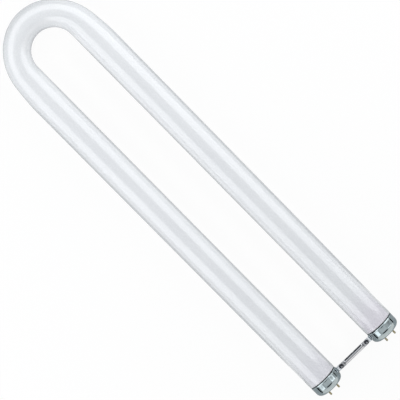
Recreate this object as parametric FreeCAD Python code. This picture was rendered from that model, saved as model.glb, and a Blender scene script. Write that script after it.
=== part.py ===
import FreeCAD, Part
import math
import os

# U-bent fluorescent tube lamp: a sealed glass tube with two legs, a two-pin cap on each leg
# and a riveted brace between the caps. Millimetres, +Z up. The lamp lies flat on z = 0 with
# its legs along X, the bend at -X and the pins at +X, centred over the origin.
# Right is +Y and left is -Y, as seen from above with the bend at the top of the view.

Vector = FreeCAD.Vector

# Whole lamp
LAMP_LENGTH = 571.5  # outside of the bend to the end faces of the caps
LEG_SPACING = 92.1  # between the axes of the legs
TUBE_DIAMETER = 38.1

# Bend, where the drawn glass is thinner in the plane of the U than on the legs
THINNING_AT_START = 2.6
THINNING_AT_CORNERS = 5.3
THINNING_AT_APEX = 4.8
HEIGHT_LOST_AT_APEX = 1.1
THINNING_RUN = 36.0  # last stretch of each leg, where the thinning begins
BEND_STEPS = 12
RUN_STEPS = 6

# Cap shell, drawn from sheet, with a rolled rim beside the glass
CAP_LENGTH = 15.45
CAP_WALL = 0.4
CAP_STEP = 0.2  # cap surface below the tube surface
CAP_SHOULDER = 6.4
END_LAND = 1.5  # flat ring of the end face, from the shoulder to the opening
RIM_WIDTH = 2.0
RIM_CROWN = 1.0  # from the front edge of the rim to its crown
RIM_RISE = 0.15  # crown above the cap surface
RIM_DROP = 0.4  # front edge below the crown
RIM_CROWN_ROUNDING = 1.5
RIM_EDGE = 0.25

# Glass end inside the cap, with the funnel of the stem and its exhaust tip
CEMENT_THICKNESS = 0.5
CEMENT_START = 2.5
CEMENT_END = 8.5
SHOULDER_BEFORE_RIM = 1.5
SHOULDER_INSIDE_RIM = 0.0
SHOULDER_ROUNDING = 0.9
GLASS_IN_CAP = 9.0
GLASS_END_ROUNDING = 2.5
FUNNEL_MOUTH_DIAMETER = 26.0
FUNNEL_LIP_ROUNDING = 1.2
FUNNEL_FLOOR_DIAMETER = 10.0
FUNNEL_DEPTH = 15.0
EXHAUST_DIAMETER = 5.0
EXHAUST_LENGTH = 16.5
EXHAUST_ROUNDING = 2.2

# Insulator disc behind the end face of the cap
INSULATOR_FLANGE = 1.6
INSULATOR_CLEARANCE = 0.1

# Tubular contact pins, staked in the insulator
PIN_LENGTH = 7.1  # past the end face of the cap
PIN_SPACING = 12.7
PIN_DIAMETER = 2.35
PIN_TIP_ROUNDING = 0.9
PIN_WALL = 0.425
PIN_TIP_THICKNESS = 1.2
PIN_SEAT_STEP = 0.325  # seat in the insulator, wider than the pin
PIN_COLLAR_STEP = 0.5
PIN_COLLAR_HEIGHT = 0.5
PIN_HEAD_STEP = 0.9
PIN_HEAD_HEIGHT = 0.7

# Lead wires from the funnel floor into the pins
LEAD_DIAMETER = 0.7
LEAD_STRAIGHT = 10.0
LEAD_BEFORE_PIN = 2.8
LEAD_BEND = 2.0
LEAD_END_GAP = 0.4

# Brace: a strap with a raised bead, riveted on a folded lug at each cap
SHEET = 0.8
STRAP_WIDTH = 6.2
STRAP_RIM_GAP = 0.55
RIVET_FROM_CAP = 6.55
BEAD_FROM_RIVET = 4.4
BEAD_RADIUS = 3.6
BEAD_RISE = 1.45
LUG_FOOT_LENGTH = 8.0
LUG_BEND = 1.4  # at the middle of the sheet
RIVET_DIAMETER = 2.4
RIVET_HOLE_CLEARANCE = 0.05
RIVET_HEAD_DIAMETER = 5.6
RIVET_HEAD_HEIGHT = 1.5
RIVET_TAIL_DIAMETER = 4.0
RIVET_TAIL_HEIGHT = 0.8

# Worked-out radii
TUBE_RADIUS = TUBE_DIAMETER / 2
CAP_RADIUS = TUBE_RADIUS - CAP_STEP
RIM_RADIUS = CAP_RADIUS + RIM_RISE
CAP_INNER_RADIUS = CAP_RADIUS - CAP_WALL
NECK_RADIUS = CAP_INNER_RADIUS - CEMENT_THICKNESS
END_FLAT_RADIUS = CAP_RADIUS - CAP_SHOULDER
OPENING_RADIUS = END_FLAT_RADIUS - END_LAND
BEND_INNER_RADIUS = LEG_SPACING / 2 - TUBE_RADIUS
PIN_RADIUS = PIN_DIAMETER / 2
PIN_SEAT_RADIUS = PIN_RADIUS + PIN_SEAT_STEP
LEAD_RADIUS = LEAD_DIAMETER / 2
RIVET_HOLE_RADIUS = RIVET_DIAMETER / 2 + RIVET_HOLE_CLEARANCE

# Worked-out places, with the lamp's whole length centred on x = 0
AXIS_HEIGHT = max(TUBE_RADIUS, RIM_RADIUS)
BEND_OUTSIDE_X = -(LAMP_LENGTH + PIN_LENGTH) / 2
FACE_X = BEND_OUTSIDE_X + LAMP_LENGTH
RIM_X = FACE_X - CAP_LENGTH
BEND_CENTRE_X = BEND_OUTSIDE_X + TUBE_DIAMETER - THINNING_AT_APEX + BEND_INNER_RADIUS
RUN_START_X = BEND_CENTRE_X + THINNING_RUN

# Worked-out places along a leg, measured from the rim of the cap towards the pins
END_WALL = CAP_LENGTH - CAP_WALL
INSULATOR_BACK = END_WALL - INSULATOR_FLANGE
PIN_BACK = INSULATOR_BACK - PIN_HEAD_HEIGHT
PIN_TIP = CAP_LENGTH + PIN_LENGTH
FUNNEL_FLOOR = GLASS_IN_CAP - FUNNEL_DEPTH
STRAP_CENTRE = RIM_WIDTH + STRAP_RIM_GAP + STRAP_WIDTH / 2

# Worked-out heights and reaches of the brace, measured from the axis of a leg
STRAP_UNDERSIDE = SHEET / 2
STRAP_TOP = STRAP_UNDERSIDE + SHEET
RIVET_REACH = CAP_RADIUS + RIVET_FROM_CAP

ORIGIN = Vector(0, 0, 0)
ALONG = Vector(1, 0, 0)
ACROSS = Vector(0, 1, 0)
UP = Vector(0, 0, 1)


def rounded_edges(corners, closed):
    """Edges through (along, out, rounding) corners, with a tangent arc at each rounded corner."""
    places = [Vector(along, out, 0) for along, out, rounding in corners]
    edges = []
    ends = []
    for i, (along, out, rounding) in enumerate(corners):
        corner = places[i]
        if rounding == 0:
            ends.append((corner, corner, None))
            continue
        back = (places[i - 1] - corner).normalize()
        ahead = (places[(i + 1) % len(places)] - corner).normalize()
        half_angle = back.getAngle(ahead) / 2
        reach = rounding / math.tan(half_angle)
        depth = rounding / math.sin(half_angle) - rounding
        middle = corner + (back + ahead).normalize() * depth
        ends.append((corner + back * reach, corner + ahead * reach, middle))
    for i, (arc_start, arc_end, middle) in enumerate(ends):
        if middle is not None:
            edges.append(Part.Arc(arc_start, middle, arc_end).toShape())
        if closed or i + 1 < len(ends):
            next_start = ends[(i + 1) % len(ends)][0]
            edges.append(Part.LineSegment(arc_end, next_start).toShape())
    return edges


def turned(corners):
    """Solid turned about the X axis from (along, radius, rounding) corners."""
    face = Part.Face(Part.Wire(rounded_edges(corners, True)))
    return face.revolve(ORIGIN, ALONG, 360)


def on_right_leg(shape):
    """Moves a shape made round the X axis, with the cap's rim at x = 0, to the right leg."""
    return shape.translated(Vector(RIM_X, LEG_SPACING / 2, AXIS_HEIGHT))


def on_left(shape):
    """Mirror image of a right-hand shape."""
    return shape.mirror(ORIGIN, ACROSS)


def save(name, shape):
    shape.exportStep(f"parts/{name}.step")


def save_pair(name, shape):
    """Saves a piece of the right leg and its mirror image on the left leg."""
    save(f"right_{name}", shape)
    save(f"left_{name}", on_left(shape))


def tube_section(centre, outward, half_thickness, half_height):
    """Oval section of the bend, standing upright with its thickness along the outward line."""
    top = centre + UP * half_height
    side = centre + outward * half_thickness
    return Part.Wire(Part.Ellipse(top, side, centre).toShape())


def round_section(side):
    """Round section where the straight part of a leg ends."""
    circle = Part.Circle()
    circle.Center = Vector(RUN_START_X, side * LEG_SPACING / 2, AXIS_HEIGHT)
    circle.Axis = UP.cross(ACROSS * side)
    circle.XAxis = UP
    circle.Radius = TUBE_RADIUS
    return Part.Wire(circle.toShape())


def eased(share):
    """Share of a change that starts and ends level."""
    return share ** 2 * (3 - 2 * share)


def run_thinning(share):
    """Thinning along a leg's last stretch, level at its start and steepest at the bend."""
    return THINNING_AT_START * share ** 2 * (3 - share) / 2


def bend_thinning(turn):
    """Thinning round the bend: it goes on from the leg's slope to the corner, then eases to the apex."""
    corner = math.pi / 4
    share = min(turn, math.pi - turn) / corner
    if share > 1:
        return THINNING_AT_CORNERS + (THINNING_AT_APEX - THINNING_AT_CORNERS) * eased(share - 1)
    slope = 1.5 * THINNING_AT_START / THINNING_RUN
    outer_run = corner * (BEND_INNER_RADIUS + TUBE_DIAMETER - THINNING_AT_START)
    gained = (THINNING_AT_CORNERS - THINNING_AT_START) * eased(share)
    return THINNING_AT_START + gained + slope * outer_run * share * (1 - share) ** 2


def run_sections(side):
    """Sections of a leg's last stretch, whose outer wall draws in towards the bend."""
    outward = ACROSS * side
    sections = [round_section(side)]
    for step in range(1, RUN_STEPS):
        done = step / RUN_STEPS
        half_thickness = TUBE_RADIUS - run_thinning(done) / 2
        centre = Vector(RUN_START_X - THINNING_RUN * done, 0, AXIS_HEIGHT)
        centre += outward * (BEND_INNER_RADIUS + half_thickness)
        sections.append(tube_section(centre, outward, half_thickness, TUBE_RADIUS))
    return sections


def bend_sections():
    """Sections round the half turn, whose inner wall keeps one radius."""
    sections = []
    for step in range(BEND_STEPS + 1):
        turn = math.pi * step / BEND_STEPS
        half_thickness = TUBE_RADIUS - bend_thinning(turn) / 2
        half_height = TUBE_RADIUS - HEIGHT_LOST_AT_APEX / 2 * math.sin(turn) ** 2
        outward = Vector(-math.sin(turn), math.cos(turn), 0)
        centre = Vector(BEND_CENTRE_X, 0, AXIS_HEIGHT)
        centre += outward * (BEND_INNER_RADIUS + half_thickness)
        sections.append(tube_section(centre, outward, half_thickness, half_height))
    return sections


def make_leg():
    """Straight leg with its necked end, the funnel of the stem and the exhaust tip."""
    exhaust_radius = EXHAUST_DIAMETER / 2
    return turned([
        (RUN_START_X - RIM_X, 0, 0),
        (RUN_START_X - RIM_X, TUBE_RADIUS, 0),
        (-SHOULDER_BEFORE_RIM, TUBE_RADIUS, SHOULDER_ROUNDING),
        (SHOULDER_INSIDE_RIM, NECK_RADIUS, SHOULDER_ROUNDING),
        (GLASS_IN_CAP, NECK_RADIUS, GLASS_END_ROUNDING),
        (GLASS_IN_CAP, FUNNEL_MOUTH_DIAMETER / 2, FUNNEL_LIP_ROUNDING),
        (FUNNEL_FLOOR, FUNNEL_FLOOR_DIAMETER / 2, 0),
        (FUNNEL_FLOOR, exhaust_radius, 0),
        (FUNNEL_FLOOR + EXHAUST_LENGTH, exhaust_radius, EXHAUST_ROUNDING),
        (FUNNEL_FLOOR + EXHAUST_LENGTH, 0, 0),
    ])


def make_glass_tube():
    sections = run_sections(1) + bend_sections() + run_sections(-1)[::-1]
    bend = Part.makeLoft(sections, True)
    right_leg = on_right_leg(make_leg())
    return bend.fuse([right_leg, on_left(right_leg)]).Solids[0]


def make_cap_shell():
    """Drawn shell with a rolled rim, a round shoulder and an open end face."""
    front_radius = RIM_RADIUS - RIM_DROP
    return turned([
        (0, front_radius - CAP_WALL, 0),
        (0, front_radius, RIM_EDGE),
        (RIM_CROWN, RIM_RADIUS, RIM_CROWN_ROUNDING),
        (RIM_WIDTH, CAP_RADIUS, 0),
        (CAP_LENGTH, CAP_RADIUS, CAP_SHOULDER),
        (CAP_LENGTH, OPENING_RADIUS, 0),
        (END_WALL, OPENING_RADIUS, 0),
        (END_WALL, CAP_INNER_RADIUS, CAP_SHOULDER - CAP_WALL),
        (RIM_WIDTH, CAP_INNER_RADIUS, 0),
        (RIM_CROWN, RIM_RADIUS - CAP_WALL, 0),
    ])


def make_cement_ring():
    return turned([
        (CEMENT_START, NECK_RADIUS, 0),
        (CEMENT_END, NECK_RADIUS, 0),
        (CEMENT_END, CAP_INNER_RADIUS, 0),
        (CEMENT_START, CAP_INNER_RADIUS, 0),
    ])


def make_insulator():
    """Disc that sits behind the end face of the cap and fills its opening."""
    boss_radius = OPENING_RADIUS - INSULATOR_CLEARANCE
    flange_radius = END_FLAT_RADIUS - INSULATOR_CLEARANCE
    disc = turned([
        (INSULATOR_BACK, 0, 0),
        (INSULATOR_BACK, flange_radius, 0),
        (END_WALL, flange_radius, 0),
        (END_WALL, boss_radius, 0),
        (CAP_LENGTH, boss_radius, 0),
        (CAP_LENGTH, 0, 0),
    ])
    for side in (-1, 1):
        seat = Vector(INSULATOR_BACK, side * PIN_SPACING / 2, 0)
        disc = disc.cut(Part.makeCylinder(PIN_SEAT_RADIUS, CAP_LENGTH - INSULATOR_BACK, seat, ALONG))
    return disc


def make_pin():
    """Hollow pin with a head behind the insulator and a staked collar in front of it."""
    bore_radius = PIN_RADIUS - PIN_WALL
    collar_end = CAP_LENGTH + PIN_COLLAR_HEIGHT
    return turned([
        (PIN_BACK, bore_radius, 0),
        (PIN_BACK, PIN_SEAT_RADIUS + PIN_HEAD_STEP, 0),
        (INSULATOR_BACK, PIN_SEAT_RADIUS + PIN_HEAD_STEP, 0),
        (INSULATOR_BACK, PIN_SEAT_RADIUS, 0),
        (CAP_LENGTH, PIN_SEAT_RADIUS, 0),
        (CAP_LENGTH, PIN_SEAT_RADIUS + PIN_COLLAR_STEP, 0),
        (collar_end, PIN_SEAT_RADIUS + PIN_COLLAR_STEP, 0),
        (collar_end, PIN_RADIUS, 0),
        (PIN_TIP, PIN_RADIUS, PIN_TIP_ROUNDING),
        (PIN_TIP, 0, 0),
        (PIN_TIP - PIN_TIP_THICKNESS, 0, 0),
        (PIN_TIP - PIN_TIP_THICKNESS, bore_radius, 0),
    ])


def make_lead(side):
    """Wire from the funnel floor, beside the exhaust tip, into the bore of a pin."""
    floor_middle = (EXHAUST_DIAMETER + FUNNEL_FLOOR_DIAMETER) / 4
    wire_end = PIN_TIP - PIN_TIP_THICKNESS - LEAD_END_GAP
    route = Part.Wire(rounded_edges([
        (FUNNEL_FLOOR, side * floor_middle, 0),
        (FUNNEL_FLOOR + LEAD_STRAIGHT, side * floor_middle, LEAD_BEND),
        (PIN_BACK - LEAD_BEFORE_PIN, side * PIN_SPACING / 2, LEAD_BEND),
        (wire_end, side * PIN_SPACING / 2, 0),
    ], False))
    start = Vector(FUNNEL_FLOOR, side * floor_middle, 0)
    section = Part.Wire(Part.makeCircle(LEAD_RADIUS, start, ALONG))
    return route.makePipeShell([section], True, False)


def make_lug():
    """Folded tab: a foot that hugs the side of the cap, and a flat ear with the rivet's hole."""
    middle_radius = CAP_RADIUS + SHEET / 2
    span = middle_radius + LUG_BEND
    bend_reach = math.sqrt(span ** 2 - LUG_BEND ** 2)
    bend_start = math.asin(LUG_BEND / span)
    foot_end = bend_start + LUG_FOOT_LENGTH / middle_radius
    bend_centre = Vector(0, -bend_reach, -LUG_BEND)

    def on_foot(radius, angle):
        return Vector(0, -radius * math.cos(angle), -radius * math.sin(angle))

    def on_bend(radius, share):
        angle = bend_start + (math.pi / 2 - bend_start) * share
        return bend_centre + Vector(0, math.cos(angle), math.sin(angle)) * radius

    def side_of_sheet(foot_radius, bend_radius, height):
        """Foot, bend and ear along one side of the sheet."""
        ear_end = Vector(0, -RIVET_REACH - STRAP_WIDTH / 2, height)
        foot_middle = on_foot(foot_radius, (foot_end + bend_start) / 2)
        return [
            Part.Arc(on_foot(foot_radius, foot_end), foot_middle, on_foot(foot_radius, bend_start)),
            Part.Arc(on_bend(bend_radius, 0), on_bend(bend_radius, 0.5), on_bend(bend_radius, 1)),
            Part.LineSegment(on_bend(bend_radius, 1), ear_end),
        ]

    upper = side_of_sheet(CAP_RADIUS, LUG_BEND + SHEET / 2, SHEET / 2)
    lower = side_of_sheet(CAP_RADIUS + SHEET, LUG_BEND - SHEET / 2, -SHEET / 2)
    ends = [
        Part.LineSegment(upper[0].StartPoint, lower[0].StartPoint),
        Part.LineSegment(upper[-1].EndPoint, lower[-1].EndPoint),
    ]
    edges = [curve.toShape() for curve in upper + lower + ends]
    outline = Part.Face(Part.Wire(Part.sortEdges(edges)[0]))
    folded = outline.extrude(ALONG * STRAP_WIDTH).translated(ALONG * (STRAP_CENTRE - STRAP_WIDTH / 2))
    rivet_place = Vector(STRAP_CENTRE, -RIVET_REACH, 0)
    plan = strap_plate(Vector(STRAP_CENTRE, 0, 0), rivet_place, -span, 2 * span)
    hole = Part.makeCylinder(RIVET_HOLE_RADIUS, SHEET, rivet_place - UP * SHEET / 2)
    return folded.common(plan).cut(hole)


def strap_plate(start, end, underside, thickness):
    """Flat plate across the lamp, as wide as the strap, with round ends centred on two places."""
    half_width = STRAP_WIDTH / 2
    reach = (end - start).normalize() * half_width
    lift = UP * underside
    corner = ALONG * half_width
    edges = [
        Part.LineSegment(start + corner, end + corner),
        Part.Arc(end + corner, end + reach, end - corner),
        Part.LineSegment(end - corner, start - corner),
        Part.Arc(start - corner, start - reach, start + corner),
    ]
    outline = Part.Wire([edge.toShape() for edge in edges]).translated(lift)
    return Part.Face(outline).extrude(UP * thickness)


def make_bead(radius, half_length):
    """Round bar with ball ends, lying along the strap's middle."""
    axis_height = STRAP_TOP + BEAD_RISE - BEAD_RADIUS
    ends = [Vector(STRAP_CENTRE, side * half_length, axis_height) for side in (-1, 1)]
    bar = Part.makeCylinder(radius, 2 * half_length, ends[0], ACROSS)
    return bar.fuse([Part.makeSphere(radius, end) for end in ends])


def make_brace_strap():
    """Strap on the two ears, with a bead pressed up from below between its rivets."""
    rivet_half_spacing = LEG_SPACING / 2 - RIVET_REACH
    rivet_places = [Vector(STRAP_CENTRE, side * rivet_half_spacing, 0) for side in (-1, 1)]
    plate = strap_plate(*rivet_places, STRAP_UNDERSIDE, SHEET)
    bead_end = math.sqrt(BEAD_RADIUS ** 2 - (BEAD_RADIUS - BEAD_RISE) ** 2)
    half_length = rivet_half_spacing - BEAD_FROM_RIVET - bead_end
    above = strap_plate(*rivet_places, STRAP_UNDERSIDE, SHEET + BEAD_RISE)
    strap = plate.fuse(make_bead(BEAD_RADIUS, half_length).common(above))
    strap = strap.cut(make_bead(BEAD_RADIUS - SHEET, half_length))
    for place in rivet_places:
        strap = strap.cut(Part.makeCylinder(RIVET_HOLE_RADIUS, SHEET, place + UP * STRAP_UNDERSIDE))
    return strap.translated(Vector(RIM_X, 0, AXIS_HEIGHT)).Solids[0]


def make_rivet():
    """Domed rivet through the strap and the ear, with a flattened tail below."""
    shank_radius = RIVET_DIAMETER / 2
    tail_radius = RIVET_TAIL_DIAMETER / 2
    tail_top = -SHEET / 2
    tail_bottom = tail_top - RIVET_TAIL_HEIGHT
    shank = turned([
        (tail_bottom, 0, 0),
        (tail_bottom, tail_radius, 0),
        (tail_top, tail_radius, 0),
        (tail_top, shank_radius, 0),
        (STRAP_TOP, shank_radius, 0),
        (STRAP_TOP, 0, 0),
    ]).rotated(ORIGIN, ACROSS, -90)
    head_radius = RIVET_HEAD_DIAMETER / 2
    ball_radius = (head_radius ** 2 + RIVET_HEAD_HEIGHT ** 2) / (2 * RIVET_HEAD_HEIGHT)
    ball_drop = ball_radius - RIVET_HEAD_HEIGHT
    base_latitude = math.degrees(math.asin(ball_drop / ball_radius))
    ball_centre = UP * (STRAP_TOP - ball_drop)
    head = Part.makeSphere(ball_radius, ball_centre, UP, base_latitude, 90, 360)
    return shank.fuse(head).translated(Vector(STRAP_CENTRE, -RIVET_REACH, 0)).Solids[0]


def main():
    os.makedirs("parts", exist_ok=True)
    save("glass_tube", make_glass_tube())
    save_pair("cap_shell", on_right_leg(make_cap_shell()))
    save_pair("cement_ring", on_right_leg(make_cement_ring()))
    save_pair("insulator", on_right_leg(make_insulator()))
    for name, side in (("inner", -1), ("outer", 1)):
        pin = make_pin().translated(ACROSS * (side * PIN_SPACING / 2))
        save_pair(f"{name}_pin", on_right_leg(pin))
        save_pair(f"{name}_lead", on_right_leg(make_lead(side)))
    save_pair("lug", on_right_leg(make_lug()))
    save("brace_strap", make_brace_strap())
    save_pair("rivet", on_right_leg(make_rivet()))


main()
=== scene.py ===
import math

import bpy
from bpy.props import FloatProperty, FloatVectorProperty, PointerProperty
from mathutils import Matrix, Vector


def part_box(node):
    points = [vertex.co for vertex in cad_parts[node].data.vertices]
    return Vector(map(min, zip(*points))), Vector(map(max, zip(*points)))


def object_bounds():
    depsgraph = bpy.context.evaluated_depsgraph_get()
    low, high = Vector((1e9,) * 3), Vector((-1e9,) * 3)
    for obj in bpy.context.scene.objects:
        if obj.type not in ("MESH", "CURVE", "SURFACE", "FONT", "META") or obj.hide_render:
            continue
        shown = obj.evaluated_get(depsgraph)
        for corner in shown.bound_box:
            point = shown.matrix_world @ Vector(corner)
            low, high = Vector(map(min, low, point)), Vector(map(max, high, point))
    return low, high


bl_info = {
    "name": "U-Shaped Fluorescent Bulb",
    "version": (1, 0, 0),
    "blender": (4, 5, 0),
    "location": "3D View > Sidebar > Bulb",
    "description": "Finishes of a U-shaped fluorescent bulb and the stage that it lies on",
    "category": "Object",
}

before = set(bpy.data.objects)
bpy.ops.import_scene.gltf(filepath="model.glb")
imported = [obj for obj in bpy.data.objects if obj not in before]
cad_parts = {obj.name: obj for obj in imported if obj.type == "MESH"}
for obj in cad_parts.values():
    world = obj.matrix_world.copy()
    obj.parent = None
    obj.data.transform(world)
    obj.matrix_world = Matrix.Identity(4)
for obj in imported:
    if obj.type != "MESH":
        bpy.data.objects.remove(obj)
CAD_LOW, CAD_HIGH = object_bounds()

# Places taken from the frame, in metres
CAP_LOW, CAP_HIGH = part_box("right_cap_shell")
RIM_X = CAP_LOW.x
LEG_Y = (CAP_LOW.y + CAP_HIGH.y) / 2
AXIS_Z = (CAP_LOW.z + CAP_HIGH.z) / 2
BEND_X = CAD_LOW.x + CAD_HIGH.y
RIVET_LOW, RIVET_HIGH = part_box("right_rivet")
RIVET_PLACE = (RIVET_LOW + RIVET_HIGH) / 2

SIDES = ("left", "right")
GLASS_NODES = ["glass_tube"]
CAP_NODES = [f"{side}_cap_shell" for side in SIDES]
INSULATOR_NODES = [f"{side}_insulator" for side in SIDES]
PIN_NODES = [f"{side}_{place}_pin" for side in SIDES for place in ("inner", "outer")]
STRAP_NODES = ["brace_strap"]
LUG_NODES = [f"{side}_lug" for side in SIDES]
RIVET_NODES = [f"{side}_rivet" for side in SIDES]
CEMENT_NODES = [f"{side}_cement_ring" for side in SIDES]
LEAD_NODES = [f"{side}_{place}_lead" for side in SIDES for place in ("inner", "outer")]

# Stretch where the caps' sheet begins to turn, in metres before the end face
TURN_START = 0.0079
TURN_END = 0.0049
TURN_X = (CAP_HIGH.x - TURN_START, CAP_HIGH.x - TURN_END)

# Painted shade along the glass's outline, painted shadow band at the caps, and refraction of the glass:
# lengths in metres, facing as a share
OUTLINE_FACING = (0.43, 0.60)
OUTLINE_BEFORE_BEND = 0.03
OUTLINE_PAST_BEND = 0.06
OUTLINE_X = (BEND_X - OUTLINE_BEFORE_BEND, BEND_X + OUTLINE_PAST_BEND)
BAND_EDGE = 0.0001
COATING_IOR = 1.5
GLASS_IOR = 1.7  # over plain glass, for the photograph's strong reflections

# Grain of the finishes, in waves per metre along x, y and z
COATING_PATCHES = (14.0, 40.0, 40.0)
POWDER_GRAIN = (700.0, 700.0, 700.0)
GLASS_RIPPLE = (22.0, 55.0, 55.0)
CAP_MARKS = (2600.0, 30.0, 30.0)
CAP_PATCHES = (160.0, 160.0, 160.0)
CAP_DENTS = (70.0, 70.0, 70.0)
SHEET_PATCHES = (220.0, 220.0, 220.0)
SHEET_SCRATCHES = (1800.0, 60.0, 1800.0)
RIVET_WEAR = (420.0, 420.0, 420.0)
RIVET_MARKS = (900.0, 900.0, 900.0)
PIN_TARNISH = (350.0, 350.0, 350.0)
PIN_SCUFFS = (150.0, 2500.0, 2500.0)
LEAD_OXIDE = (300.0, 300.0, 300.0)
LEAD_LINES = (120.0, 4000.0, 4000.0)
INSULATOR_FLECKS = (1500.0, 1500.0, 1500.0)
INSULATOR_GRAIN = (3000.0, 3000.0, 3000.0)
CEMENT_GRAINS = (1200.0, 1200.0, 1200.0)

# Strength of the finer marks, and the part of the noise that shows
POWDER_SHARE = 0.25
CAP_MARK_SHARE = 0.5
SCRATCH_SHARE = 0.35
RIVET_WEAR_RANGE = (0.5, 0.75)
FLECK_RANGE = (0.45, 0.7)

# Depth of the finishes' relief, in metres
GLASS_RIPPLE_DEPTH = 0.000004
CAP_MARK_DEPTH = 0.000002
CAP_DENT_DEPTH = 0.00005
SCRATCH_DEPTH = 0.000004
RIVET_MARK_DEPTH = 0.00003
SCUFF_DEPTH = 0.000005
LEAD_LINE_DEPTH = 0.000002
INSULATOR_GRAIN_DEPTH = 0.00001
CEMENT_GRAIN_DEPTH = 0.00008

# Roughness at the low and the high end of each finish's noise
COATING_ROUGHNESS = (0.22, 0.30)
CAP_ROUGHNESS = (0.03, 0.065)
STRAP_ROUGHNESS = (0.14, 0.22)
LUG_ROUGHNESS = (0.55, 0.70)
RIVET_ROUGHNESS = (0.38, 0.22)
PIN_ROUGHNESS = (0.18, 0.30)
LEAD_ROUGHNESS = (0.25, 0.45)
INSULATOR_ROUGHNESS = (0.42, 0.58)
CEMENT_ROUGHNESS = (0.75, 0.95)

# Camera, fitted to the photograph's 400 by 400 frame
CAMERA_TARGET = Vector((0.0135966, -0.0016075, AXIS_Z))
CAMERA_DISTANCE = 2.0
CAMERA_TILT = math.radians(5.0716)  # from straight above, towards the bend
CAMERA_SIDE = math.radians(2.9395)  # from straight above, towards the right leg
CAMERA_ROLL = math.radians(44.4078)  # bend to the upper left
CAMERA_LENS = 153.6615
CAMERA_SENSOR = 36.0

# Floor and long lights, in metres, with angles in degrees from straight above
FLOOR_SIZE = 60.0
CARD_DISTANCE = 1.0
LIGHT_START_X = -1.15
RIGHT_STRIP_END_X = 0.447
LEFT_STRIP_END_X = 0.457
RIGHT_STRIP_FADE = 0.032
LEFT_STRIP_FADE = 0.010
STRIP_BEND_STEPS = 16
RIGHT_STRIP_ANGLES = (31.0, 89.5)
LEFT_STRIP_ANGLES = (24.0, 80.5)
STRIP_SOFT_EDGE = 0.08  # share of the width
LIGHT_SOFT_ENDS = 0.02  # share of the length
RIGHT_CAP_CARD_X = (0.484, 0.62)
LEFT_CAP_CARD_X = (0.466, 0.62)
RIGHT_CAP_CARD_ANGLES = (27.0, 69.0)
LEFT_CAP_CARD_ANGLES = (37.0, 70.0)
CAP_CARD_SOFT_EDGE = 0.1  # share of the width
CARD_CORNER_UVS = ((0, 0), (1, 0), (1, 1), (0, 1))

# Dark cards that the metal mirrors, in metres
CARD_CLEARANCE = 0.002  # above the floor
CARD_LOW = CAD_LOW.z + CARD_CLEARANCE
FLAG_DISTANCE = 1.2
FLAG_NEAR = 0.236
LEFT_FLAG_TOP = 0.31
RIGHT_FLAG_TOP = 0.09
# Places of the flags' edges along x at the caps, and their drift for each metre away
RIGHT_FLAG_EDGES = ((0.266, 0.2126), (0.2745, 0.4))
LEFT_FLAG_EDGES = ((0.25, 0.2126), (0.277, 0.6))
OVERHEAD_FLAG_X = (0.57, 0.83)
OVERHEAD_FLAG_Y = (-0.47, 0.43)
OVERHEAD_FLAG_Z = 1.02
STRAP_FLAG_X = 0.25
STRAP_FLAG_REACH = 0.0165
STRAP_FLAG_TOP = 0.055
STRAP_END_X = (0.266, 0.279)
STRAP_END_Y = 0.0185
STRAP_END_Z = (0.02, 0.036)
STRAP_END_LIGHT = 0.25

# Pale cards, in metres
END_CARD_X = 1.3
END_CARD_REACH = 3.0
END_CARD_TOP = 1.4
END_FLOOR_X = 0.42
END_FLOOR_REACH = 0.3
OVERHEAD_CARD_X = (0.484, 0.57)
OVERHEAD_CARD_REACH = 0.5
OVERHEAD_CARD_Z = 1.03
RIM_CARD_X = 0.235
RIM_CARD_Y = (-0.075, 0.08)
RIM_CARD_Z = (0.084, 0.105)
RIM_CARD_LIGHT = 1.4
RIM_FLOOR_CORNERS = ((0.235, 0.068), (0.2625, 0.068), (0.18, 0.45), (-0.06, 0.45))
RIM_FLOOR_LIGHT = 0.9
LEG_CARD_CLEARANCE = 0.001
LEG_CARD_TOP = 0.026
LEG_CARD_END_X = 0.263
BEND_CARD_REACH = 0.018


def colour_property(name, description, default):
    """Property for one colour."""
    return FloatVectorProperty(
        name=name, description=description, default=default, size=4, subtype="COLOR", min=0.0, max=1.0
    )


class GlassLook(bpy.types.PropertyGroup):
    """Colours and gloss of the coated glass tube"""

    coating: colour_property("Coating", "White powder coating inside the glass", (0.83, 0.84, 0.855, 1))
    coating_shade: colour_property("Coating shade", "Thinner patches of the coating", (0.80, 0.81, 0.83, 1))
    right_end: colour_property("Right end", "Coating beside the right cap", (0.76, 0.73, 0.788, 1))
    left_end: colour_property("Left end", "Coating beside the left cap", (0.79, 0.783, 0.825, 1))
    end_length: FloatProperty(
        name="End length", description="Length of the tinted end", default=0.062, unit="LENGTH"
    )
    # Painted shadow: near-black band on the glass at each cap rim, standing in for the shadow in the gap
    # between glass and cap
    rim_gap_shadow: colour_property(
        "End band", "Dark glass where the coating stops at the cap", (0.02, 0.022, 0.025, 1)
    )
    band_width: FloatProperty(
        name="Band width", description="Width of the dark band at the cap", default=0.0016, unit="LENGTH"
    )
    # Painted shade: colour that darkens the coating towards the tube's outline past the bend
    outline: colour_property("Outline", "Glass wall seen along its thickness", (0.62, 0.63, 0.645, 1))
    gloss: FloatProperty(
        name="Glass roughness", description="Roughness of the outer glass", default=0.05, subtype="FACTOR"
    )


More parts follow.
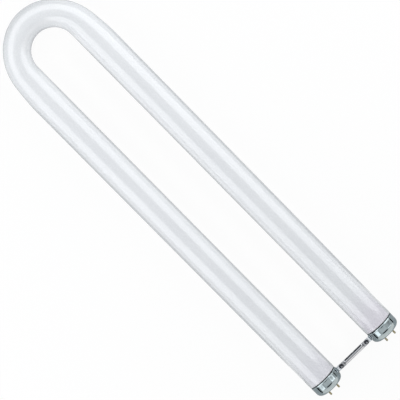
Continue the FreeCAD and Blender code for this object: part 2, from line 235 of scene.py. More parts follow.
class MetalLook(bpy.types.PropertyGroup):
    """Colours of the metal pieces"""

    cap: colour_property("Cap", "Drawn metal of the end caps", (0.48, 0.545, 0.56, 1))
    cap_streak: colour_property("Cap streaks", "Drawing marks round the caps", (0.40, 0.47, 0.487, 1))
    turn_depth: FloatProperty(
        name="Turn depth",
        description="Fall of the cap sheet where it begins to turn towards the end face",
        default=0.00028,
        unit="LENGTH",
    )
    strap: colour_property("Strap", "Plated sheet of the strap", (0.69, 0.70, 0.72, 1))
    strap_shade: colour_property(
        "Strap shade", "Dull patches of the strap's plating", (0.585, 0.595, 0.625, 1)
    )
    lug: colour_property("Lug", "Plated sheet of the lugs", (0.93, 0.96, 0.98, 1))
    lug_shade: colour_property("Lug shade", "Dull patches of the lugs' plating", (0.82, 0.85, 0.89, 1))
    rivet: colour_property("Rivet", "Dark steel of the rivets", (0.03, 0.032, 0.038, 1))
    rivet_wear: colour_property("Rivet wear", "Bright wear on the rivets", (0.08, 0.085, 0.10, 1))
    # Painted highlight: a bright disc on each rivet's crown, shifted towards the pins, standing in for the
    # light that the domed head mirrors
    rivet_highlight: colour_property("Rivet crown", "Bare metal on the worn crowns", (0.64, 0.665, 0.71, 1))
    highlight_radius: FloatProperty(
        name="Crown radius", description="Radius of the worn crowns", default=0.0015, unit="LENGTH"
    )
    highlight_shift: FloatProperty(
        name="Crown shift",
        description="Place of the worn crowns from the rivets' middle towards the pins",
        default=0.0006,
        unit="LENGTH",
    )
    pin: colour_property("Pin", "Brass of the contact pins", (0.36, 0.318, 0.185, 1))
    pin_dull: colour_property("Dull pin", "Tarnish on the contact pins", (0.26, 0.232, 0.15, 1))
    lead: colour_property("Lead wire", "Plated lead wires", (0.62, 0.60, 0.57, 1))
    lead_dull: colour_property("Dull lead wire", "Oxide on the lead wires", (0.46, 0.42, 0.38, 1))


class FillerLook(bpy.types.PropertyGroup):
    """Colours of the moulded and cast pieces in the caps"""

    insulator: colour_property("Insulator", "Moulded discs that hold the pins", (0.075, 0.045, 0.03, 1))
    insulator_fleck: colour_property("Insulator fleck", "Filler flecks", (0.14, 0.09, 0.06, 1))
    cement: colour_property("Cement", "Cement between glass and cap", (0.52, 0.45, 0.35, 1))
    cement_grain: colour_property("Cement grain", "Darker grains in the cement", (0.38, 0.32, 0.24, 1))


class StageLook(bpy.types.PropertyGroup):
    """Light and floor round the bulb"""

    floor: colour_property("Floor", "Colour of the pale floor", (0.93, 0.93, 0.93, 1))
    bounce: colour_property("Floor bounce", "Light that the floor sends back", (0.50, 0.52, 0.53, 1))
    ambient: colour_property("Ambient", "Soft light from all round", (0.30, 0.32, 0.335, 1))
    strip: colour_property("Strip", "Tone of the lights and pale cards", (0.98, 0.99, 1.0, 1))
    strip_strength: FloatProperty(
        name="Light strength", description="Brightness of the two long lights", default=2.12, min=0.0
    )
    strip_mirrored: FloatProperty(
        name="Mirrored strip",
        description="Brightness of the strip that the glass mirrors",
        default=1.85,
        min=0.0,
    )
    floor_white: FloatProperty(
        name="Floor white",
        description="Share of plain white seen on the floor",
        default=0.94,
        subtype="FACTOR",
    )
    floor_mirrored: FloatProperty(
        name="Mirrored floor",
        description="Share of plain white in the mirrored floor",
        default=0.2,
        subtype="FACTOR",
    )
    floor_glow: FloatProperty(
        name="Floor glow",
        description="Share of plain white in the light that the floor sends up",
        default=0.5,
        subtype="FACTOR",
    )
    world_mirrored: FloatProperty(
        name="Mirrored surroundings",
        description="Share of plain white in the mirrored surroundings",
        default=0.45,
        subtype="FACTOR",
    )
    dark: colour_property("Dark cards", "Dark cards mirrored in the metal", (0.02, 0.025, 0.03, 1))
    cap_light: FloatProperty(
        name="Cap cards",
        description="Brightness of the two cards that the caps mirror",
        default=1.95,
        min=0.0,
    )
    end_tone: colour_property("End tone", "Tone of the pale cards past the pins", (1.0, 0.97, 0.95, 1))
    end_light: FloatProperty(
        name="End card", description="Brightness of the pale card past the pins", default=1.02, min=0.0
    )
    end_floor_light: FloatProperty(
        name="End floor card",
        description="Brightness of the pale floor past the pins",
        default=1.35,
        min=0.0,
    )
    leg_light: FloatProperty(
        name="Leg card", description="Brightness of the low cards between the legs", default=0.9, min=0.0
    )
    overhead_light: FloatProperty(
        name="Overhead card", description="Brightness of the pale card over the caps", default=0.8, min=0.0
    )


def empty_material(name):
    """Material without a shader, its node tree and its output."""
    material = bpy.data.materials.new(name)
    material.use_nodes = True
    tree = material.node_tree
    tree.nodes.clear()
    return material, tree, tree.nodes.new("ShaderNodeOutputMaterial")


def new_finish(name):
    """Material with one main shader, its node tree and that shader."""
    material, tree, output = empty_material(name)
    shader = tree.nodes.new("ShaderNodeBsdfPrincipled")
    tree.links.new(shader.outputs["BSDF"], output.inputs["Surface"])
    return material, tree, shader


def new_glow(name, colour):
    """Material that gives light of one tone, its node tree and that light."""
    material, tree, output = empty_material(name)
    glow = tree.nodes.new("ShaderNodeEmission")
    glow.inputs["Color"].default_value = tuple(colour)
    tree.links.new(glow.outputs["Emission"], output.inputs["Surface"])
    return material, tree, glow


def grain(tree, per_metre, detail=4.0, spread=0.5):
    """Noise in the frame's own coordinates, with as many waves per metre along each axis."""
    place = tree.nodes.new("ShaderNodeTexCoord")
    scale = tree.nodes.new("ShaderNodeMapping")
    noise = tree.nodes.new("ShaderNodeTexNoise")
    scale.inputs["Scale"].default_value = per_metre
    noise.inputs["Scale"].default_value = 1.0
    noise.inputs["Detail"].default_value = detail
    noise.inputs["Roughness"].default_value = spread
    tree.links.new(place.outputs["Object"], scale.inputs["Vector"])
    tree.links.new(scale.outputs["Vector"], noise.inputs["Vector"])
    return noise.outputs["Fac"]


def spread_to(tree, value, low, high, from_low=0.3, from_high=0.7, smooth=False):
    """Value carried from one range to another."""
    reach = tree.nodes.new("ShaderNodeMapRange")
    reach.interpolation_type = "SMOOTHSTEP" if smooth else "LINEAR"
    reach.inputs["From Min"].default_value = from_low
    reach.inputs["From Max"].default_value = from_high
    reach.inputs["To Min"].default_value = low
    reach.inputs["To Max"].default_value = high
    tree.links.new(value, reach.inputs["Value"])
    return reach.outputs["Result"]


def between(tree, share, first, second):
    """Colour between two colours or colour sockets."""
    mix = tree.nodes.new("ShaderNodeMix")
    mix.data_type = "RGBA"
    tree.links.new(share, mix.inputs["Factor"])
    for socket, colour in ((mix.inputs["A"], first), (mix.inputs["B"], second)):
        if isinstance(colour, bpy.types.NodeSocket):
            tree.links.new(colour, socket)
        else:
            socket.default_value = tuple(colour)
    return mix.outputs["Result"]


def combined(tree, operation, first, second):
    """Two values put together, where the second may be a plain number."""
    both = tree.nodes.new("ShaderNodeMath")
    both.operation = operation
    tree.links.new(first, both.inputs[0])
    if isinstance(second, bpy.types.NodeSocket):
        tree.links.new(second, both.inputs[1])
    else:
        both.inputs[1].default_value = second
    return both.outputs["Value"]


def mixed_shader(tree, share, first, second):
    """Shader between two shaders."""
    mix = tree.nodes.new("ShaderNodeMixShader")
    tree.links.new(share, mix.inputs["Fac"])
    tree.links.new(first, mix.inputs[1])
    tree.links.new(second, mix.inputs[2])
    return mix.outputs["Shader"]


def relief(tree, height, depth, normal=None):
    """Normal of a surface whose height varies by depth metres."""
    bump = tree.nodes.new("ShaderNodeBump")
    bump.inputs["Strength"].default_value = 1.0
    bump.inputs["Distance"].default_value = depth
    tree.links.new(height, bump.inputs["Height"])
    if normal is not None:
        tree.links.new(normal, bump.inputs["Normal"])
    return bump.outputs["Normal"]


def along(tree, axis):
    """Place along one axis, in metres."""
    place = tree.nodes.new("ShaderNodeTexCoord")
    split = tree.nodes.new("ShaderNodeSeparateXYZ")
    tree.links.new(place.outputs["Object"], split.inputs["Vector"])
    return split.outputs[axis]


def give_finish(nodes, material):
    """Puts one finish on CAD nodes."""
    for name in nodes:
        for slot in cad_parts[name].material_slots:
            slot.material = material


def coated_glass(look):
    """Clear glass over a white powder coating that is a little uneven and greyer beside the caps, with
    painted shade along its outline and a painted shadow band at the cap rims.
    """
    material, tree, shader = new_finish("coated_glass")
    patches = grain(tree, COATING_PATCHES, detail=3.0)
    powder = grain(tree, POWDER_GRAIN, detail=2.0)
    ripple = grain(tree, GLASS_RIPPLE, detail=1.0)
    lengthwise = along(tree, "X")
    coating = between(tree, spread_to(tree, patches, 0.0, 1.0), look.coating, look.coating_shade)
    coating = between(tree, spread_to(tree, powder, 0.0, POWDER_SHARE), coating, look.coating_shade)
    near_cap = spread_to(tree, lengthwise, 0.0, 1.0, RIM_X - look.end_length, RIM_X, smooth=True)
    on_right = spread_to(tree, along(tree, "Y"), 0.0, 1.0, -LEG_Y, LEG_Y)
    coating = between(tree, near_cap, coating, between(tree, on_right, look.left_end, look.right_end))
    # Painted shade: the coating turns to the outline colour where the surface turns away from view, on the
    # legs past the bend
    turned = tree.nodes.new("ShaderNodeLayerWeight")
    outline_shade_share = spread_to(tree, turned.outputs["Facing"], 0.0, 1.0, *OUTLINE_FACING, smooth=True)
    past_bend = spread_to(tree, lengthwise, 0.0, 1.0, *OUTLINE_X, smooth=True)
    coating = between(tree, combined(tree, "MULTIPLY", outline_shade_share, past_bend), coating, look.outline)
    # Painted shadow: the glass turns near-black in a band just before each cap rim, for the shadow in the
    # gap there
    band_start = RIM_X - look.band_width
    in_rim_shadow = spread_to(tree, lengthwise, 0.0, 1.0, band_start - BAND_EDGE, band_start + BAND_EDGE)
    coating = between(tree, in_rim_shadow, coating, look.rim_gap_shadow)
    tree.links.new(coating, shader.inputs["Base Color"])
    tree.links.new(spread_to(tree, powder, *COATING_ROUGHNESS), shader.inputs["Roughness"])
    surface = relief(tree, ripple, GLASS_RIPPLE_DEPTH)
    tree.links.new(surface, shader.inputs["Normal"])
    tree.links.new(surface, shader.inputs["Coat Normal"])
    shader.inputs["IOR"].default_value = COATING_IOR
    shader.inputs["Coat Weight"].default_value = 1.0
    shader.inputs["Coat IOR"].default_value = GLASS_IOR
    shader.inputs["Coat Roughness"].default_value = look.gloss
    return material


def drawn_cap_metal(look):
    """Bright drawn sheet with fine marks round the cap and shallow unevenness."""
    material, tree, shader = new_finish("drawn_cap_metal")
    marks = grain(tree, CAP_MARKS, detail=3.0)
    patches = grain(tree, CAP_PATCHES, detail=3.0)
    dents = grain(tree, CAP_DENTS, detail=1.0)
    sheet = between(tree, spread_to(tree, patches, 0.0, 1.0), look.cap, look.cap_streak)
    sheet = between(tree, spread_to(tree, marks, 0.0, CAP_MARK_SHARE), sheet, look.cap_streak)
    tree.links.new(sheet, shader.inputs["Base Color"])
    tree.links.new(spread_to(tree, patches, *CAP_ROUGHNESS), shader.inputs["Roughness"])
    turn = spread_to(tree, along(tree, "X"), 1.0, 0.0, *TURN_X, smooth=True)
    surface = relief(tree, marks, CAP_MARK_DEPTH)
    surface = relief(tree, dents, CAP_DENT_DEPTH, surface)
    surface = relief(tree, turn, look.turn_depth, surface)
    tree.links.new(surface, shader.inputs["Normal"])
    shader.inputs["Metallic"].default_value = 1.0
    return material


def plated_sheet(name, plating, shade, roughness):
    """Plated sheet with dull patches and fine scratches along the strap."""
    material, tree, shader = new_finish(name)
    patches = grain(tree, SHEET_PATCHES)
    scratches = grain(tree, SHEET_SCRATCHES, detail=3.0)
    sheet = between(tree, spread_to(tree, patches, 0.0, 1.0), plating, shade)
    sheet = between(tree, spread_to(tree, scratches, 0.0, SCRATCH_SHARE), sheet, shade)
    tree.links.new(sheet, shader.inputs["Base Color"])
    tree.links.new(spread_to(tree, patches, *roughness), shader.inputs["Roughness"])
    tree.links.new(relief(tree, scratches, SCRATCH_DEPTH), shader.inputs["Normal"])
    shader.inputs["Metallic"].default_value = 1.0
    return material


def highlight_share(tree, look):
    """One in the middle of each rivet's painted highlight, falling to nothing at the highlight's edge."""
    off_middle = tree.nodes.new("ShaderNodeMath")
    off_middle.operation = "ABSOLUTE"
    tree.links.new(along(tree, "Y"), off_middle.inputs[0])
    place = tree.nodes.new("ShaderNodeCombineXYZ")
    tree.links.new(along(tree, "X"), place.inputs["X"])
    tree.links.new(off_middle.outputs["Value"], place.inputs["Y"])
    away = tree.nodes.new("ShaderNodeVectorMath")
    away.operation = "DISTANCE"
    away.inputs[1].default_value = (RIVET_PLACE.x + look.highlight_shift, RIVET_PLACE.y, 0)
    tree.links.new(place.outputs["Vector"], away.inputs[0])
    return spread_to(tree, away.outputs["Value"], 1.0, 0.0, 0.0, look.highlight_radius, smooth=True)


def dark_rivet_steel(look):
    """Dark steel with bright wear, hammer marks and a painted highlight on each head's crown."""
    material, tree, shader = new_finish("dark_rivet_steel")
    wear = grain(tree, RIVET_WEAR)
    marks = grain(tree, RIVET_MARKS, detail=1.0)
    steel = between(tree, spread_to(tree, wear, 0.0, 1.0, *RIVET_WEAR_RANGE), look.rivet, look.rivet_wear)
    # Painted highlight: bright disc on each rivet's crown
    steel = between(tree, highlight_share(tree, look), steel, look.rivet_highlight)
    tree.links.new(steel, shader.inputs["Base Color"])
    tree.links.new(spread_to(tree, wear, *RIVET_ROUGHNESS), shader.inputs["Roughness"])
    tree.links.new(relief(tree, marks, RIVET_MARK_DEPTH), shader.inputs["Normal"])
    shader.inputs["Metallic"].default_value = 1.0
    return material


def pin_brass(look):
    """Brass with a little tarnish and scuffs along the pin."""
    material, tree, shader = new_finish("pin_brass")
    tarnish = grain(tree, PIN_TARNISH)
    scuffs = grain(tree, PIN_SCUFFS, detail=3.0)
    brass = between(tree, spread_to(tree, tarnish, 0.0, 1.0), look.pin, look.pin_dull)
    tree.links.new(brass, shader.inputs["Base Color"])
    tree.links.new(spread_to(tree, tarnish, *PIN_ROUGHNESS), shader.inputs["Roughness"])
    tree.links.new(relief(tree, scuffs, SCUFF_DEPTH), shader.inputs["Normal"])
    shader.inputs["Metallic"].default_value = 1.0
    return material


def drawn_lead_wire(look):
    """Plated wire with patches of oxide and drawing lines."""
    material, tree, shader = new_finish("drawn_lead_wire")
    oxide = grain(tree, LEAD_OXIDE)
    lines = grain(tree, LEAD_LINES, detail=2.0)
    wire = between(tree, spread_to(tree, oxide, 0.0, 1.0), look.lead, look.lead_dull)
    tree.links.new(wire, shader.inputs["Base Color"])
    tree.links.new(spread_to(tree, oxide, *LEAD_ROUGHNESS), shader.inputs["Roughness"])
    tree.links.new(relief(tree, lines, LEAD_LINE_DEPTH), shader.inputs["Normal"])
    shader.inputs["Metallic"].default_value = 1.0
    return material


def moulded_insulator(look):
    """Dark moulded disc with flecks of filler and a fine matt grain."""
    material, tree, shader = new_finish("moulded_insulator")
    flecks = grain(tree, INSULATOR_FLECKS)
    matt = grain(tree, INSULATOR_GRAIN, detail=2.0)
    fleck_share = spread_to(tree, flecks, 0.0, 1.0, *FLECK_RANGE)
    moulding = between(tree, fleck_share, look.insulator, look.insulator_fleck)
    tree.links.new(moulding, shader.inputs["Base Color"])
    tree.links.new(spread_to(tree, flecks, *INSULATOR_ROUGHNESS), shader.inputs["Roughness"])
    tree.links.new(relief(tree, matt, INSULATOR_GRAIN_DEPTH), shader.inputs["Normal"])
    return material


def cap_cement(look):
    """Rough baked cement with darker grains."""
    material, tree, shader = new_finish("cap_cement")
    grains = grain(tree, CEMENT_GRAINS, detail=5.0, spread=0.65)
    cement = between(tree, spread_to(tree, grains, 0.0, 1.0), look.cement, look.cement_grain)
    tree.links.new(cement, shader.inputs["Base Color"])
    tree.links.new(spread_to(tree, grains, *CEMENT_ROUGHNESS), shader.inputs["Roughness"])
    tree.links.new(relief(tree, grains, CEMENT_GRAIN_DEPTH), shader.inputs["Normal"])
    return material


def background_share(tree, rays, seen, mirrored, glow):
    """Share of plain white for rays from the camera, for mirrored rays and for soft light."""
    shares = (
        ("Is Camera Ray", seen),
        ("Is Transmission Ray", seen),
        ("Is Glossy Ray", mirrored),
        ("Is Diffuse Ray", glow),
    )
    first, *others = [combined(tree, "MULTIPLY", rays.outputs[kind], share) for kind, share in shares]
    for other in others:
        first = combined(tree, "MAXIMUM", first, other)
    return first


def floor_finish(look):
    """White floor that keeps a soft shadow and sends little light back."""
    material, tree, output = empty_material("stage_floor")
    rays = tree.nodes.new("ShaderNodeLightPath")
    paper = tree.nodes.new("ShaderNodeBsdfDiffuse")
    white = tree.nodes.new("ShaderNodeEmission")
    share = background_share(tree, rays, look.floor_white, look.floor_mirrored, look.floor_glow)
    paper_colour = between(tree, rays.outputs["Is Camera Ray"], look.bounce, look.floor)
    tree.links.new(paper_colour, paper.inputs["Color"])
    surface = mixed_shader(tree, share, paper.outputs["BSDF"], white.outputs["Emission"])
    tree.links.new(surface, output.inputs["Surface"])
    return material


def set_world(look):
    """Even soft light, with a white background for what the camera sees."""
    world = bpy.data.worlds.new("stage_world")
    world.use_nodes = True
    tree = world.node_tree
    tree.nodes.clear()
    output = tree.nodes.new("ShaderNodeOutputWorld")
    rays = tree.nodes.new("ShaderNodeLightPath")
    soft = tree.nodes.new("ShaderNodeBackground")
    white = tree.nodes.new("ShaderNodeBackground")
    soft.inputs["Color"].default_value = tuple(look.ambient)
    white.inputs["Color"].default_value = (1, 1, 1, 1)
    share = background_share(tree, rays, seen=1.0, mirrored=look.world_mirrored, glow=0.0)
    surface = mixed_shader(tree, share, soft.outputs["Background"], white.outputs["Background"])
    tree.links.new(surface, output.inputs["Surface"])
    bpy.context.scene.world = world


def soft_edges(tree, value, edge):
    """One in the middle of a 0 to 1 range, falling to nothing at both ends."""
    rise = spread_to(tree, value, 0.0, 1.0, 0.0, edge, smooth=True)
    fall = spread_to(tree, value, 0.0, 1.0, 1.0, 1.0 - edge, smooth=True)
    return combined(tree, "MULTIPLY", rise, fall)


def sheet_place(tree):
    """Places along and across a sheet of the stage."""
    place = tree.nodes.new("ShaderNodeTexCoord")
    split = tree.nodes.new("ShaderNodeSeparateXYZ")
    tree.links.new(place.outputs["UV"], split.inputs["Vector"])
    return split.outputs["X"], split.outputs["Y"]


def glowing_card(name, colour, strength, edge_along, edge_across):
    """Light panel that is soft at its edges."""
    material, tree, glow = new_glow(name, colour)
    lengthwise, crosswise = sheet_place(tree)
    ends = soft_edges(tree, lengthwise, edge_along)
    level = combined(tree, "MULTIPLY", ends, soft_edges(tree, crosswise, edge_across))
    tree.links.new(combined(tree, "MULTIPLY", level, strength), glow.inputs["Strength"])
    return material


def plain_card(name, colour, strength=1.0):
    """Card of one even tone."""
    material, _, glow = new_glow(name, colour)
    glow.inputs["Strength"].default_value = strength
    return material


def one_sided_card(name, colour, strength=1.0):
    """Card of one even tone on its front, clear from behind."""
    material, tree, output = empty_material(name)
    face = tree.nodes.new("ShaderNodeNewGeometry")
    tone = tree.nodes.new("ShaderNodeEmission")
    clear = tree.nodes.new("ShaderNodeBsdfTransparent")
    tone.inputs["Color"].default_value = tuple(colour)
    tone.inputs["Strength"].default_value = strength
    surface = mixed_shader(
        tree, face.outputs["Backfacing"], tone.outputs["Emission"], clear.outputs["BSDF"]
    )
    tree.links.new(surface, output.inputs["Surface"])
    return material


def strip_glow(look, run):
    """Light of the strip, soft across it and at its two ends."""
    material, tree, glow = new_glow("strip_glow", look.strip)
    lengthwise, crosswise = sheet_place(tree)
    left_fade = (run, run - LEFT_STRIP_FADE)
    right_end = spread_to(tree, lengthwise, 0.0, 1.0, 0.0, RIGHT_STRIP_FADE, smooth=True)
    left_end = spread_to(tree, lengthwise, 0.0, look.strip_mirrored, *left_fade, smooth=True)
    level = soft_edges(tree, crosswise, STRIP_SOFT_EDGE)
    for end in (right_end, left_end):
        level = combined(tree, "MULTIPLY", level, end)
    tree.links.new(level, glow.inputs["Strength"])
    return material


def stage_mesh(name, points, faces, places, material):
    """Sheet of the stage, with a place on the sheet for each point."""
    mesh = bpy.data.meshes.new(name)
    mesh.from_pydata(points, [], faces)
    layer = mesh.uv_layers.new(name="sheet")
    for loop in mesh.loops:
        layer.data[loop.index].uv = places[loop.vertex_index]
    mesh.materials.append(material)
    sheet = bpy.data.objects.new(name, mesh)
    bpy.context.scene.collection.objects.link(sheet)
    return sheet


def stage_sheet(name, corners, material):
    """Flat four-cornered sheet of the stage."""
    return stage_mesh(name, corners, [(0, 1, 2, 3)], CARD_CORNER_UVS, material)


def only_mirrored(card):
    """Leaves a card to the mirrored rays of metal and glass."""
    card.visible_camera = False
    card.visible_diffuse = False
    card.visible_transmission = False
    card.visible_shadow = False


def mirrored_sheet(name, corners, material):
    """Flat card that is only mirrored."""
    only_mirrored(stage_sheet(name, corners, material))


def both_ways(reach):
    """Ends of a stretch that reaches as far to the left as to the right."""
    return -reach, reach


def upright_across(x, y_ends, z_ends):
    """Corners of an upright sheet across the legs."""
    (y_from, y_to), (z_from, z_to) = y_ends, z_ends
    return [(x, y_from, z_from), (x, y_to, z_from), (x, y_to, z_to), (x, y_from, z_to)]


def upright_along(y, x_ends, z_ends):
    """Corners of an upright sheet along the legs."""
    (x_from, x_to), (z_from, z_to) = x_ends, z_ends
    return [(x_from, y, z_from), (x_to, y, z_from), (x_to, y, z_to), (x_from, y, z_to)]


def level_at(z, x_ends, y_ends):
    """Corners of a level sheet."""
    (x_from, x_to), (y_from, y_to) = x_ends, y_ends
    return [(x_from, y_from, z), (x_to, y_from, z), (x_to, y_to, z), (x_from, y_to, z)]


def beside(x, side, angle):
    """Point beside the bulb at the cards' distance, at an angle from straight above."""
    lean = math.radians(angle)
    return (x, side * CARD_DISTANCE * math.sin(lean), AXIS_Z + CARD_DISTANCE * math.cos(lean))


def long_card(name, side, angles, x_ends, material):
    """Card along the legs between two angles, unseen by the camera itself."""
    (upper, lower), (x_from, x_to) = angles, x_ends
    corners = [
        beside(x_from, side, upper),
        beside(x_to, side, upper),
        beside(x_to, side, lower),
        beside(x_from, side, lower),
    ]
    card = stage_sheet(name, corners, material)
    card.visible_camera = False
    return card


def set_floor(look):
    """Wide floor under the bulb."""
    ends = both_ways(FLOOR_SIZE / 2)
    stage_sheet("floor", level_at(CAD_LOW.z, ends, ends), floor_finish(look))


def set_lights(look):
    """Two long lights beside the legs, for the soft light alone."""
    glow = glowing_card(
        "long_light_glow", look.strip, look.strip_strength, LIGHT_SOFT_ENDS, STRIP_SOFT_EDGE
    )
    lights = (
        long_card("right_light", 1, RIGHT_STRIP_ANGLES, (LIGHT_START_X, RIGHT_STRIP_END_X), glow),
        long_card("left_light", -1, LEFT_STRIP_ANGLES, (LIGHT_START_X, LEFT_STRIP_END_X), glow),
    )
    for light in lights:
        light.visible_glossy = False
        light.visible_transmission = False


def strip_stations():
    """Stations of the strip from the right cap round the bend to the left cap, and its whole run.

    A station has its x, its heading from the bulb, its share of the way from the right side's
    angles to the left side's, and the run before it.
    """
    right_run = RIGHT_STRIP_END_X - BEND_X
    bend_run = math.pi * CARD_DISTANCE
    stations = [(RIGHT_STRIP_END_X, math.pi / 2, 0.0, 0.0)]
    for step in range(STRIP_BEND_STEPS + 1):
        share = step / STRIP_BEND_STEPS
        stations.append((BEND_X, math.pi * (0.5 + share), share, right_run + bend_run * share))
    run = right_run + bend_run + LEFT_STRIP_END_X - BEND_X
    stations.append((LEFT_STRIP_END_X, math.pi * 1.5, 1.0, run))
    return stations, run


def set_strip(look):
    """Bright strip past both legs and round the bend, as the glass mirrors the lights."""
    stations, run = strip_stations()
    points = []
    places = []
    for x, heading, share, run_before in stations:
        for across, (right, left) in enumerate(zip(RIGHT_STRIP_ANGLES, LEFT_STRIP_ANGLES)):
            lean = math.radians(right + (left - right) * share)
            reach = CARD_DISTANCE * math.sin(lean)
            height = AXIS_Z + CARD_DISTANCE * math.cos(lean)
            points.append((x + reach * math.cos(heading), reach * math.sin(heading), height))
            places.append((run_before, across))
    faces = [(2 * k, 2 * k + 1, 2 * k + 3, 2 * k + 2) for k in range(len(stations) - 1)]
    only_mirrored(stage_mesh("strip", points, faces, places, strip_glow(look, run)))


def set_cap_cards(look):
    """Two small bright cards for the caps to mirror."""
    glow = glowing_card("cap_card_glow", look.strip, look.cap_light, LIGHT_SOFT_ENDS, CAP_CARD_SOFT_EDGE)
    only_mirrored(long_card("right_cap_card", 1, RIGHT_CAP_CARD_ANGLES, RIGHT_CAP_CARD_X, glow))
    only_mirrored(long_card("left_cap_card", -1, LEFT_CAP_CARD_ANGLES, LEFT_CAP_CARD_X, glow))


def flag_edge(y, z):
    """Two ends of a flag's edge, drifted along x as a cap mirrors it."""
    away = abs(y) - LEG_Y
    edges = RIGHT_FLAG_EDGES if y > 0 else LEFT_FLAG_EDGES
    return [(x + drift * away, y, z) for x, drift in edges]


def set_flags(look):
    """Dark cards that the metal mirrors low on both sides, overhead and beside the strap."""
    dark = plain_card("flag_tone", look.dark)
    edges = {
        "left_flag": (flag_edge(-FLAG_DISTANCE, CARD_LOW), flag_edge(-FLAG_DISTANCE, LEFT_FLAG_TOP)),
        "right_flag": (flag_edge(FLAG_DISTANCE, CARD_LOW), flag_edge(FLAG_DISTANCE, RIGHT_FLAG_TOP)),
        "right_floor_flag": (flag_edge(FLAG_NEAR, CARD_LOW), flag_edge(FLAG_DISTANCE, CARD_LOW)),
    }
    for name, (first, second) in edges.items():
        mirrored_sheet(name, [*first, *reversed(second)], dark)
    mirrored_sheet("overhead_flag", level_at(OVERHEAD_FLAG_Z, OVERHEAD_FLAG_X, OVERHEAD_FLAG_Y), dark)
    corners = upright_across(STRAP_FLAG_X, both_ways(STRAP_FLAG_REACH), (CARD_LOW, STRAP_FLAG_TOP))
    mirrored_sheet("strap_flag", corners, one_sided_card("strap_flag_tone", look.dark))
    grey = one_sided_card("strap_end_tone", look.strip, STRAP_END_LIGHT)
    corners = upright_along(STRAP_END_Y, STRAP_END_X, STRAP_END_Z)
    mirrored_sheet("right_strap_end_flag", corners, grey)
    corners = upright_along(-STRAP_END_Y, STRAP_END_X[::-1], STRAP_END_Z)
    mirrored_sheet("left_strap_end_flag", corners, grey)


def set_pale_cards(look):
    """Pale cards that the metal mirrors past the pins, over the caps and at the caps' rims."""
    tone = plain_card("end_card_tone", look.end_tone, look.end_light)
    corners = upright_across(END_CARD_X, both_ways(END_CARD_REACH), (CARD_LOW, END_CARD_TOP))
    mirrored_sheet("end_card", corners, tone)
    tone = plain_card("end_floor_tone", look.end_tone, look.end_floor_light)
    corners = level_at(CARD_LOW, (END_FLOOR_X, END_CARD_X), both_ways(END_FLOOR_REACH))
    mirrored_sheet("end_floor_card", corners, tone)
    tone = plain_card("overhead_card_tone", look.strip, look.overhead_light)
    corners = level_at(OVERHEAD_CARD_Z, OVERHEAD_CARD_X, both_ways(OVERHEAD_CARD_REACH))
    mirrored_sheet("overhead_card", corners, tone)
    tone = one_sided_card("rim_card_tone", look.strip, RIM_CARD_LIGHT)
    mirrored_sheet("rim_card", upright_across(RIM_CARD_X, RIM_CARD_Y, RIM_CARD_Z), tone)
    tone = plain_card("rim_floor_tone", look.strip, RIM_FLOOR_LIGHT)
    for name, side in (("left_rim_floor_card", -1), ("right_rim_floor_card", 1)):
        mirrored_sheet(name, [(x, side * y, CARD_LOW) for x, y in RIM_FLOOR_CORNERS], tone)


def set_leg_cards(look):
    """Low pale cards between the legs that light their inner sides, unseen by the camera."""
    z_ends = (CAD_LOW.z + LEG_CARD_CLEARANCE, LEG_CARD_TOP)
    sheets = {
        "leg_card": upright_along(0.0, (BEND_X, LEG_CARD_END_X), z_ends),
        "bend_card": upright_across(BEND_X, both_ways(BEND_CARD_REACH), z_ends),
    }
    pale = plain_card("leg_card_tone", look.strip, look.leg_light)
    for name, corners in sheets.items():
        card = stage_sheet(name, corners, pale)
        card.visible_camera = False
        card.visible_transmission = False
        card.visible_shadow = False


def set_camera():
    """Camera that sees the bulb as the photograph does."""
    back_x = -math.sin(CAMERA_TILT)
    back_y = math.sin(CAMERA_SIDE)
    back = Vector((back_x, back_y, math.sqrt(1 - back_x**2 - back_y**2)))
    top_of_view = Vector((-math.cos(CAMERA_ROLL), math.sin(CAMERA_ROLL), 0))
    right = top_of_view.cross(back).normalized()
    up = back.cross(right)
    data = bpy.data.cameras.new("photo_camera")
    data.lens = CAMERA_LENS
    data.sensor_width = CAMERA_SENSOR
    camera = bpy.data.objects.new("photo_camera", data)
    bpy.context.scene.collection.objects.link(camera)
    turn = Matrix((right, up, back)).transposed().to_4x4()
    camera.matrix_world = Matrix.Translation(CAMERA_TARGET + back * CAMERA_DISTANCE) @ turn
    bpy.context.scene.camera = camera


class BULB_OT_glass_tube(bpy.types.Operator):
    """Gives the bent tube its coated glass"""

    bl_idname = "bulb.glass_tube"
    bl_label = "Glass tube"

    def execute(self, context):
        give_finish(GLASS_NODES, coated_glass(context.scene.bulb_glass))
        return {"FINISHED"}


class BULB_OT_end_caps(bpy.types.Operator):
    """Gives both end caps their drawn metal"""

    bl_idname = "bulb.end_caps"
    bl_label = "End caps"

    def execute(self, context):
        give_finish(CAP_NODES, drawn_cap_metal(context.scene.bulb_metal))
        return {"FINISHED"}


class BULB_OT_contact_pins(bpy.types.Operator):
    """Gives the four contact pins their brass"""

    bl_idname = "bulb.contact_pins"
    bl_label = "Contact pins"

    def execute(self, context):
        give_finish(PIN_NODES, pin_brass(context.scene.bulb_metal))
        return {"FINISHED"}


class BULB_OT_insulators(bpy.types.Operator):
    """Gives the discs round the pins their moulded finish"""

    bl_idname = "bulb.insulators"
    bl_label = "Insulators"

    def execute(self, context):
        give_finish(INSULATOR_NODES, moulded_insulator(context.scene.bulb_filler))
        return {"FINISHED"}


class BULB_OT_brace(bpy.types.Operator):
    """Gives the strap and its lugs their plated sheet"""

    bl_idname = "bulb.brace"
    bl_label = "Brace"

    def execute(self, context):
        look = context.scene.bulb_metal
        strap = plated_sheet("pressed_strap", look.strap, look.strap_shade, STRAP_ROUGHNESS)
        lug = plated_sheet("folded_lug", look.lug, look.lug_shade, LUG_ROUGHNESS)
        give_finish(STRAP_NODES, strap)
        give_finish(LUG_NODES, lug)
        return {"FINISHED"}


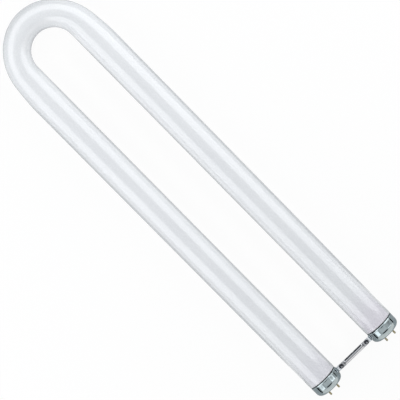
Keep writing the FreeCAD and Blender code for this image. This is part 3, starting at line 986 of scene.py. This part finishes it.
class BULB_OT_rivets(bpy.types.Operator):
    """Gives the two rivets their dark steel"""

    bl_idname = "bulb.rivets"
    bl_label = "Rivets"

    def execute(self, context):
        give_finish(RIVET_NODES, dark_rivet_steel(context.scene.bulb_metal))
        return {"FINISHED"}


class BULB_OT_inside_caps(bpy.types.Operator):
    """Gives the cement rings and lead wires inside the caps their finishes"""

    bl_idname = "bulb.inside_caps"
    bl_label = "Cement and lead wires"

    def execute(self, context):
        give_finish(CEMENT_NODES, cap_cement(context.scene.bulb_filler))
        give_finish(LEAD_NODES, drawn_lead_wire(context.scene.bulb_metal))
        return {"FINISHED"}


class BULB_OT_stage(bpy.types.Operator):
    """Sets the floor, the light and the camera"""

    bl_idname = "bulb.stage"
    bl_label = "Stage"

    def execute(self, context):
        look = context.scene.bulb_stage
        context.scene.view_settings.view_transform = "Standard"
        set_world(look)
        set_floor(look)
        set_lights(look)
        set_strip(look)
        set_cap_cards(look)
        set_flags(look)
        set_pale_cards(look)
        set_leg_cards(look)
        set_camera()
        return {"FINISHED"}


class BULB_PT_sidebar(bpy.types.Panel):
    """Lists the bulb's pieces and the stage"""

    bl_idname = "BULB_PT_sidebar"
    bl_label = "Fluorescent bulb"
    bl_space_type = "VIEW_3D"
    bl_region_type = "UI"
    bl_category = "Bulb"

    def draw(self, context):
        for operator in OPERATORS:
            self.layout.operator(operator.bl_idname)
        for look in LOOKS:
            group = getattr(context.scene, look)
            box = self.layout.box()
            for name in group.bl_rna.properties.keys():
                if name not in ("rna_type", "name"):
                    box.prop(group, name)


LOOKS = {
    "bulb_glass": GlassLook,
    "bulb_metal": MetalLook,
    "bulb_filler": FillerLook,
    "bulb_stage": StageLook,
}
OPERATORS = (
    BULB_OT_glass_tube,
    BULB_OT_end_caps,
    BULB_OT_contact_pins,
    BULB_OT_insulators,
    BULB_OT_brace,
    BULB_OT_rivets,
    BULB_OT_inside_caps,
    BULB_OT_stage,
)
CLASSES = (*LOOKS.values(), *OPERATORS, BULB_PT_sidebar)


def register():
    for item in CLASSES:
        bpy.utils.register_class(item)
    for name, look in LOOKS.items():
        setattr(bpy.types.Scene, name, PointerProperty(type=look))


def unregister():
    for name in LOOKS:
        delattr(bpy.types.Scene, name)
    for item in reversed(CLASSES):
        bpy.utils.unregister_class(item)


def main():
    register()
    bpy.ops.bulb.glass_tube()
    bpy.ops.bulb.end_caps()
    bpy.ops.bulb.contact_pins()
    bpy.ops.bulb.insulators()
    bpy.ops.bulb.brace()
    bpy.ops.bulb.rivets()
    bpy.ops.bulb.inside_caps()
    bpy.ops.bulb.stage()


if __name__ == "__main__":
    main()
